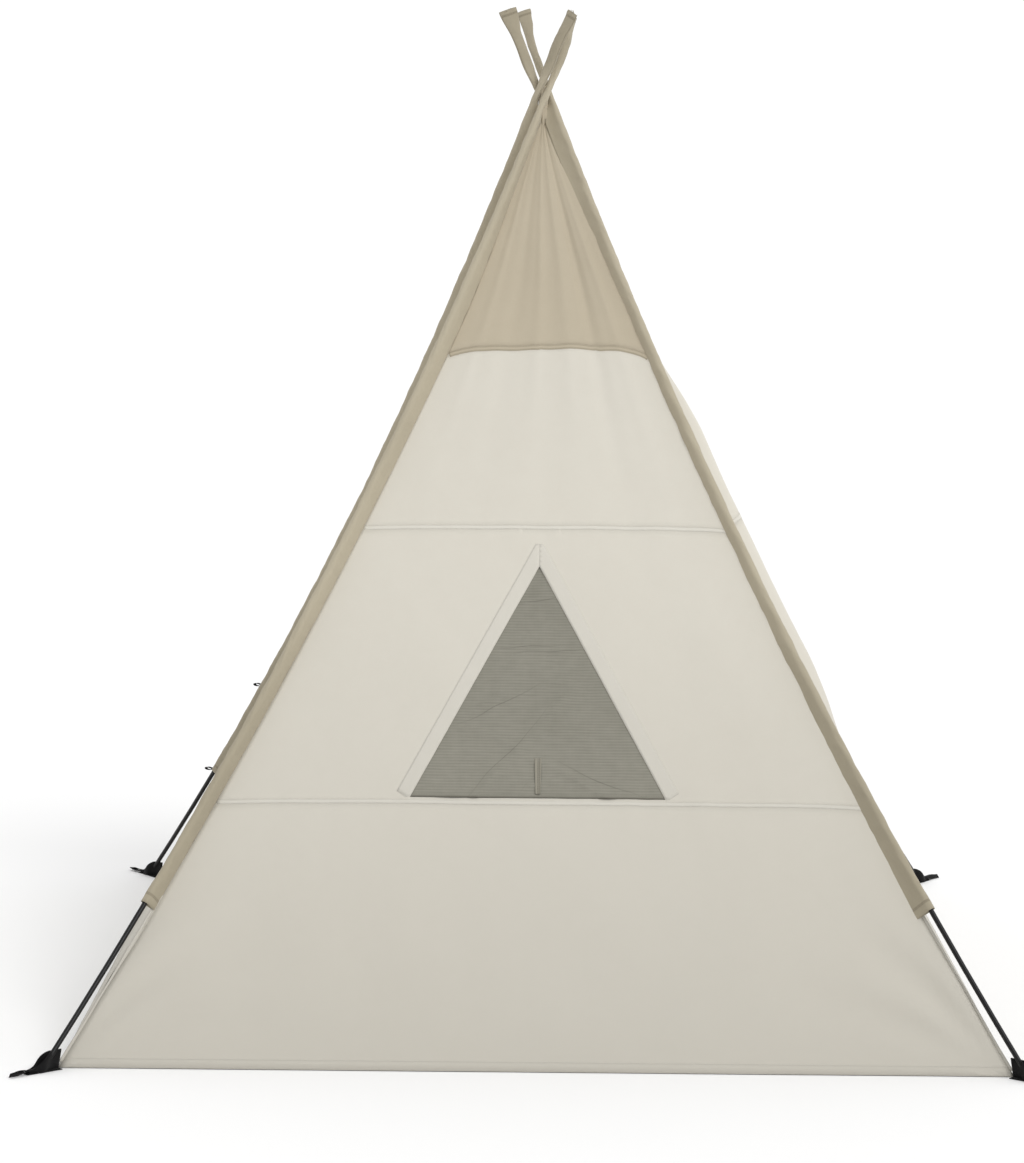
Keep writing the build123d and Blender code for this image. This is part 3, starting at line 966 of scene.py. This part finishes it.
def flap_mesh(wall):
    """The storm flap, hanging straight behind the lower panel with a soft swing in its cloth."""
    bm = flat_grid(44, 44)

    def flat(co):
        z = FLAP_LOW + (FLAP_HIGH - FLAP_LOW) * co.y
        reach = FLAP_TIP + (FLAP_HALF - FLAP_TIP) * co.y
        return Vector(((2 * co.x - 1) * reach, FLAP_Y, z))

    moved(bm, flat)
    set_uv(bm, lambda co: (co.x, co.z))
    seed = 80.0 + WALLS[wall]

    def ripple(co):
        t = 1 - (co.z - FLAP_LOW) / (FLAP_HIGH - FLAP_LOW)
        wave = -0.0042 + 0.0022 * math.sin(co.x * 22 + seed) + 0.002 * rough(co.x * 6, co.z * 3, seed)
        return spun(Vector((co.x, co.y + smooth(0.02, 0.6, t) * wave, co.z)), WALLS[wall])

    moved(bm, ripple)
    bmesh.ops.recalc_face_normals(bm, faces=bm.faces)
    return bm


def add_windows():
    mesh_cloth = netting()
    tape = canvas("grey tie tape", tone(160, 156, 143), tone(140, 136, 122), (0.0, 0.004), 0.7)
    tall = slant(WINDOW_LOW, WINDOW_HIGH)
    mesh_cut = (2 * (WINDOW_HALF + MESH_TURN_IN), tall)
    facing_cut = (2 * FACING_WIDE, math.hypot(WINDOW_HALF, slant(WINDOW_LOW, FACING_HIGH)))
    flap_cut = (2 * FLAP_HALF, FLAP_HIGH - FLAP_LOW)
    for wall in ("front", "right", "left"):
        pieces = (
            ("mesh", window_sheet(wall), mesh_cloth, 0.0005, "window_mesh", "tent", mesh_cut, "stretched",
             (WINDOW_HALF + 2 * MESH_TURN_IN) * tall),
            ("facing", facing_mesh(wall), FACING, 0.0004, "facing_canvas", "tent", facing_cut, "stretched", None),
            ("tie", tie_mesh(wall), tape, 0.0008, "tape_pale", "tent", TIE_FLAT, "hung", None),
            ("storm_flap", flap_mesh(wall), CREAM, 0.0011, "canvas_cream", f"storm_flap_{wall}", flap_cut, "hung",
             (FLAP_TIP + FLAP_HALF) * flap_cut[1]),
        )
        for kind, bm, material, thick, slot_name, body, flat, held, area in pieces:
            piece = finish_piece(f"{kind}_{wall}_cloth", bm, [material], thick=thick)
            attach(piece, body)
            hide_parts(f"{kind}_{wall}")


# ---------------------------------------------------------------- door
def door_mesh():
    bm = flat_grid(70, 66)
    gap = 0.001

    def flat(co):
        z = DOOR_LOW + gap + (DOOR_HIGH - DOOR_LOW - 2 * gap) * co.y
        free, hinge = DOOR_FREE + gap, door_edge(z) - gap
        return Vector((free + (hinge - free) * co.x, 0, z))

    moved(bm, flat)
    cloth_uv(bm)
    hung(bm, "rear")
    return bm


def door_hem():
    """The turned edges of the door's sill and top, as ribbons."""
    whole = bmesh.new()
    for z in (DOOR_LOW + 0.0185, DOOR_HIGH - 0.0020):
        points = [(DOOR_FREE + 0.004 + (door_edge(z) - 0.006 - DOOR_FREE) * i / 80, z) for i in range(81)]
        merge(whole, strip(points, 0.0165))
    hung(whole, "rear", SEAM_LIFT / 2)
    return whole


def zip_half(x, low, high):
    """One tape of the zip; its row of moulded teeth is made separately."""
    whole = bmesh.new()
    points = [(x - 0.004, low + (high - low) * i / 90) for i in range(91)]
    merge(whole, strip(points, 0.008))
    return whole


def zip_teeth(x, low, high, lift):
    whole = bmesh.new()
    count = int((high - low) / 0.0042)
    for i in range(count):
        z = low + (high - low) * (i + 0.5) / count
        made = bmesh.ops.create_cube(whole, size=1.0)
        bmesh.ops.scale(whole, verts=made["verts"], vec=(0.0052, 0.0016, 0.0021))
        bmesh.ops.translate(whole, verts=made["verts"], vec=(x, lift, z))
    return whole


def add_door():
    chain = moulded("black zip chain", tone(26, 26, 25), tone(60, 58, 54), 0.45)
    tape = moulded("black zip tape", tone(22, 22, 22), tone(48, 47, 44), 0.8)
    bm = door_mesh()
    door = finish_piece("door_cloth", bm, [CREAM], thick=CLOTH)
    hem = finish_piece("door_hem", door_hem(), [CREAM_HEM], thick=SEAM_LIFT)
    hem.parent = door
    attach(door, "door")
    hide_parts("door_flap")
    wide, narrow = (abs(door_edge(z) - DOOR_FREE) for z in (DOOR_LOW, DOOR_HIGH))
    tall = slant(DOOR_LOW, DOOR_HIGH)
    wide + SEAM_TAKES
    (wide + narrow) / 2 * tall
    points = [(door_edge(DOOR_LOW + rise) + 0.0062, DOOR_LOW + rise) for rise in (i * 0.0138 for i in range(81))]
    hinge_seam = strip(points[::-1], 0.0075)
    hung(hinge_seam, "rear", 0.0006)
    seam = finish_piece("door_hinge_seam", hinge_seam, [CREAM_SEAM], thick=0.0006)
    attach(seam, "tent")
    for node, body in (("zip_on_wall", "tent"), ("zip_on_door", "door")):
        low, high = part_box(node)
        x = -(low.x + high.x) / 2
        strip_mesh = zip_half(x, low.z, high.z)
        hung(strip_mesh, "rear", 0.0012)
        piece = finish_piece(f"{node}_tape", strip_mesh, [tape], thick=0.0010)
        side = 0.0012 if node == "zip_on_wall" else -0.0012
        teeth_mesh = zip_teeth(x + side, low.z + 0.002, high.z - 0.002, 0.0)
        moved(teeth_mesh, lambda co: on_wall(co.x, co.z, "rear", 0.0020 + co.y * 0.8))
        bmesh.ops.recalc_face_normals(teeth_mesh, faces=teeth_mesh.faces)
        teeth = finish_piece(f"{node}_teeth", teeth_mesh, [chain], smooth_shade=False)
        teeth.parent = piece
        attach(piece, body)
        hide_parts(node)


# ---------------------------------------------------------------- base
def add_groundsheet():
    low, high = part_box("floor")
    bm = flat_grid(60, 60)
    moved(bm, lambda co: Vector((low.x + (high.x - low.x) * co.x, low.y + (high.y - low.y) * co.y, high.z)))
    set_uv(bm, lambda co: (co.x, co.y))

    def crinkle(co):
        lift = 0.0012 * rough(co.x * 5, co.y * 5, 2) + 0.0006 * rough(co.x * 19, co.y * 19, 6)
        return co + UP * (min(0.0, lift) if abs(co.x) < high.x - 0.02 and abs(co.y) < high.y - 0.02 else 0)

    moved(bm, crinkle)
    piece = finish_piece("groundsheet_cloth", bm, [groundsheet_cloth()], thick=0.0007)
    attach(piece, "tent")
    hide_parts("floor")


def ribbon(rows):
    """A strap that passes through pairs of edge points, with a UV map in metres."""
    bm = bmesh.new()
    layer = bm.loops.layers.uv.verify()
    run, made = 0.0, []
    for i, (one, two) in enumerate(rows):
        if i:
            run += ((one - rows[i - 1][0]).length + (two - rows[i - 1][1]).length) / 2
        line = [(bm.verts.new(one.lerp(two, j / 3)), (run, (two - one).length * j / 3)) for j in range(4)]
        made.append(line)
    for one, two in zip(made, made[1:]):
        for j in range(3):
            corners = (one[j], one[j + 1], two[j + 1], two[j])
            face = bm.faces.new([corner[0] for corner in corners])
            for loop, corner in zip(face.loops, corners):
                loop[layer].uv = corner[1]
    return bm


CORNER_OUT = Vector((-1, -1, 0)).normalized()
CORNER_SIDE = Vector((1, -1, 0)).normalized()
HEM_CORNER = Vector((-half(0), -half(0), 0))


def corner_point(out, side, up):
    """A place beside the front left foot: out from the hem's corner, across, and up."""
    return HEM_CORNER + CORNER_OUT * out + CORNER_SIDE * side + UP * up


def pocket_mesh():
    """Webbing sewn to the hem's corner and wrapped round the foot of the pole."""
    whole = bmesh.new()
    side_low, side_high = 0.0010, 0.046
    for way in (-1, 1):
        rows = []
        for i in range(25):
            t = i / 24
            out = 0.092 * t
            tall = side_high - 0.036 * smooth(0.30, 1.0, t)
            swell = 0.0135 * math.exp(-(((out - 0.053) / 0.022) ** 2))
            wide = 0.0014 + swell + 0.0035 * smooth(0.75, 1.0, t)
            low = corner_point(out, way * (wide + 0.003 * (1 - t)), side_low)
            high = corner_point(out - 0.012 * (1 - 0.35 * t), way * wide * (0.80 if t < 0.85 else 1.0), tall)
            rows.append((low, high))
        merge(whole, ribbon(rows))
    base = [(corner_point(0.095 * i / 10, -0.021 + 0.012 * i / 10, 0.0012),
             corner_point(0.095 * i / 10, 0.021 - 0.012 * i / 10, 0.0012)) for i in range(11)]
    merge(whole, ribbon(base))
    bmesh.ops.recalc_face_normals(whole, faces=whole.faces)
    return whole


def stake_loop_mesh(corner):
    """A loop of webbing from the pocket, laid over on itself, with an eye for a peg."""
    low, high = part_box("stake_loop_front_left")
    start = math.hypot(high.x, high.y) - math.hypot(*HEM_CORNER.xy) - 0.014
    reach = math.hypot(low.x, low.y) - math.hypot(*HEM_CORNER.xy) - 0.016
    middle = 0.0066
    twist = {"front_left": 1.15, "front_right": -0.35, "rear_right": 0.9, "rear_left": 0.7}[corner]
    rows = []
    for i in range(61):
        t = i / 60
        along = math.sin(math.pi * t)
        out = start + (reach - start) * along
        open_by = (0.0009 + 0.0036 * math.exp(-(((along - 0.72) / 0.2) ** 2))) * math.cos(math.pi * t)
        wide = 0.0095 - 0.0025 * smooth(0.3, 0.9, along)
        turn = twist * smooth(0.15, 0.95, along)
        rise = middle + 0.0016 * math.sin(along * 5)
        across = Vector((math.cos(turn), math.sin(turn)))
        stand = Vector((-math.sin(turn), math.cos(turn))) * open_by
        ends = [across * wide * sign + stand for sign in (-1, 1)]
        rows.append(tuple(corner_point(out, end.x, max(0.0012, rise + end.y)) for end in ends))
    bm = ribbon(rows)
    bmesh.ops.recalc_face_normals(bm, faces=bm.faces)
    return bm


def tie_loop_mesh(node):
    """A small webbing loop that stands out from a sleeve."""
    low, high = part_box(node)
    middle = (low + high) / 2
    inward = Vector((-middle.x, -middle.y, 0)).normalized()
    size = math.hypot(high.x - low.x, high.y - low.y) * 0.42
    across = Vector((inward.y, -inward.x, 0))
    rows = []
    for i in range(41):
        t = i / 40
        turn = math.pi * 2 * t
        out = -math.cos(turn) * size
        rise = math.sin(turn) * 0.0036 * (1 - 0.3 * math.cos(turn))
        place = middle - inward * out + UP * rise
        rows.append((place - across * 0.0052, place + across * 0.0052))
    bm = ribbon(rows)
    bmesh.ops.remove_doubles(bm, verts=bm.verts, dist=1e-6)
    bmesh.ops.recalc_face_normals(bm, faces=bm.faces)
    return bm


def corner_fin(corner):
    """The folded seam allowance that stands along a corner below its sleeve."""
    rows = []
    seed = 90.0 + CORNERS[corner]
    top = SLEEVE_LOW + 0.012
    for i in range(61):
        z = 0.014 + (top - 0.014) * i / 60
        y = -half(z)
        seam = Vector(((seam_offset(z) - BOW_SIDE.y * y) / BOW_SIDE.x, y, z))
        wave = BOW_SIDE * 0.0022 * rough(z * 14, seed, 0)
        rows.append((seam - BOW_OUT * 0.006, seam + BOW_OUT * (0.0085 + 0.002 * rough(z * 9, seed, 2)) + wave))
    bm = ribbon(rows)
    bmesh.ops.rotate(bm, verts=bm.verts, matrix=Matrix.Rotation(math.radians(CORNERS[corner]), 3, "Z"))
    bmesh.ops.recalc_face_normals(bm, faces=bm.faces)
    return bm


def add_corners():
    strap = webbing()
    for corner, degrees in CORNERS.items():
        turn = Matrix.Rotation(math.radians(degrees), 3, "Z")
        for kind, bm, thick, body in (
            ("pocket", pocket_mesh(), 0.0017, "tent"),
            ("stake_loop", stake_loop_mesh(corner), 0.0014, f"stake_loop_{corner}"),
        ):
            bmesh.ops.rotate(bm, verts=bm.verts, matrix=turn)
            piece = finish_piece(f"{kind}_{corner}_webbing", bm, [strap], thick=thick)
            piece.modifiers["cloth thickness"].offset = 0
            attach(piece, body)
            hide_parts(f"{kind}_{corner}")
        fin = finish_piece(f"corner_fold_{corner}", corner_fin(corner), [FACING], thick=0.0024)
        fin.modifiers["cloth thickness"].offset = 0
        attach(fin, "tent")
    for node in ("tie_loop_upper", "tie_loop_lower"):
        piece = finish_piece(f"{node}_webbing", tie_loop_mesh(node), [strap], thick=0.0013)
        piece.modifiers["cloth thickness"].offset = 0
        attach(piece, node)
        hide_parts(node)
    return strap


add_walls()
add_sleeves()
add_windows()
add_door()
add_groundsheet()
strap = add_corners()

steel = coated_steel()
plastic = moulded("black moulded plastic", tone(20, 20, 20), tone(44, 43, 42), 0.45)
enamel = moulded("black enamel", tone(18, 18, 18), tone(52, 50, 48), 0.3)
for name, node in frame["nodes"].items():
    if node.hide_render:
        continue
    finish = (
        steel if name.endswith(("tubes", "spigots")) else plastic if name.endswith("caps")
        else strap if name.startswith(("pocket", "stake", "tie_loop")) else enamel
    )
    node.data.materials.clear()
    node.data.materials.append(finish)


# ---------------------------------------------------------------- floor, light and camera
FRONT_SKY, BACK_SKY = 0.55, 1.04
SUN, SUN_FROM = 1.35, (0.46, -0.62, 0.62)


def add_stage():
    paper = Finish("pale floor", Roughness=0.9, Base_Color=(0.94, 0.94, 0.94, 1), Specular_IOR_Level=0.1)
    bm = bmesh.new()
    bmesh.ops.create_grid(bm, x_segments=1, y_segments=1, size=60)
    floor = finish_piece("studio_floor", bm, [paper.material])
    floor.location.z = -0.0005
    world = bpy.data.worlds.new("studio")
    bpy.context.scene.world = world
    world.use_nodes = True
    background = world.node_tree.nodes["Background"]
    background.inputs["Color"].default_value = (1, 1, 1, 1)
    facing = world.node_tree.nodes.new("ShaderNodeTexCoord")
    split = world.node_tree.nodes.new("ShaderNodeSeparateXYZ")
    spread = world.node_tree.nodes.new("ShaderNodeMapRange")
    for name, value in (("From Min", -0.6), ("From Max", 0.3), ("To Min", FRONT_SKY), ("To Max", BACK_SKY)):
        spread.inputs[name].default_value = value
    world.node_tree.links.new(facing.outputs["Generated"], split.inputs["Vector"])
    world.node_tree.links.new(split.outputs["Y"], spread.inputs["Value"])
    world.node_tree.links.new(spread.outputs["Result"], background.inputs["Strength"])
    lamp = bpy.data.lights.new("window light", "SUN")
    lamp.energy = SUN
    lamp.angle = math.radians(22)
    holder = bpy.data.objects.new("window light", lamp)
    holder.rotation_euler = (-Vector(SUN_FROM)).to_track_quat("-Z", "Y").to_euler()
    bpy.context.scene.collection.objects.link(holder)


def add_camera():
    yaw, pitch, roll = -0.0043, -0.1147, 0.0086
    forward = Vector((math.sin(yaw) * math.cos(pitch), math.cos(yaw) * math.cos(pitch), math.sin(pitch)))
    right = Vector((math.cos(yaw), -math.sin(yaw), 0))
    up = right.cross(forward)
    right, up = right * math.cos(roll) + up * math.sin(roll), up * math.cos(roll) - right * math.sin(roll)
    lens = bpy.data.cameras.new("camera")
    lens.lens = 106.09
    lens.clip_end = 200
    camera = bpy.data.objects.new("camera", lens)
    camera.matrix_world = Matrix((
        (right.x, up.x, -forward.x, -0.0326), (right.y, up.y, -forward.y, -9.3161),
        (right.z, up.z, -forward.z, 2.1418), (0, 0, 0, 1),
    ))
    bpy.context.scene.collection.objects.link(camera)
    bpy.context.scene.camera = camera


add_stage()
add_camera()
scene = bpy.context.scene
scene.view_settings.view_transform = "Standard"
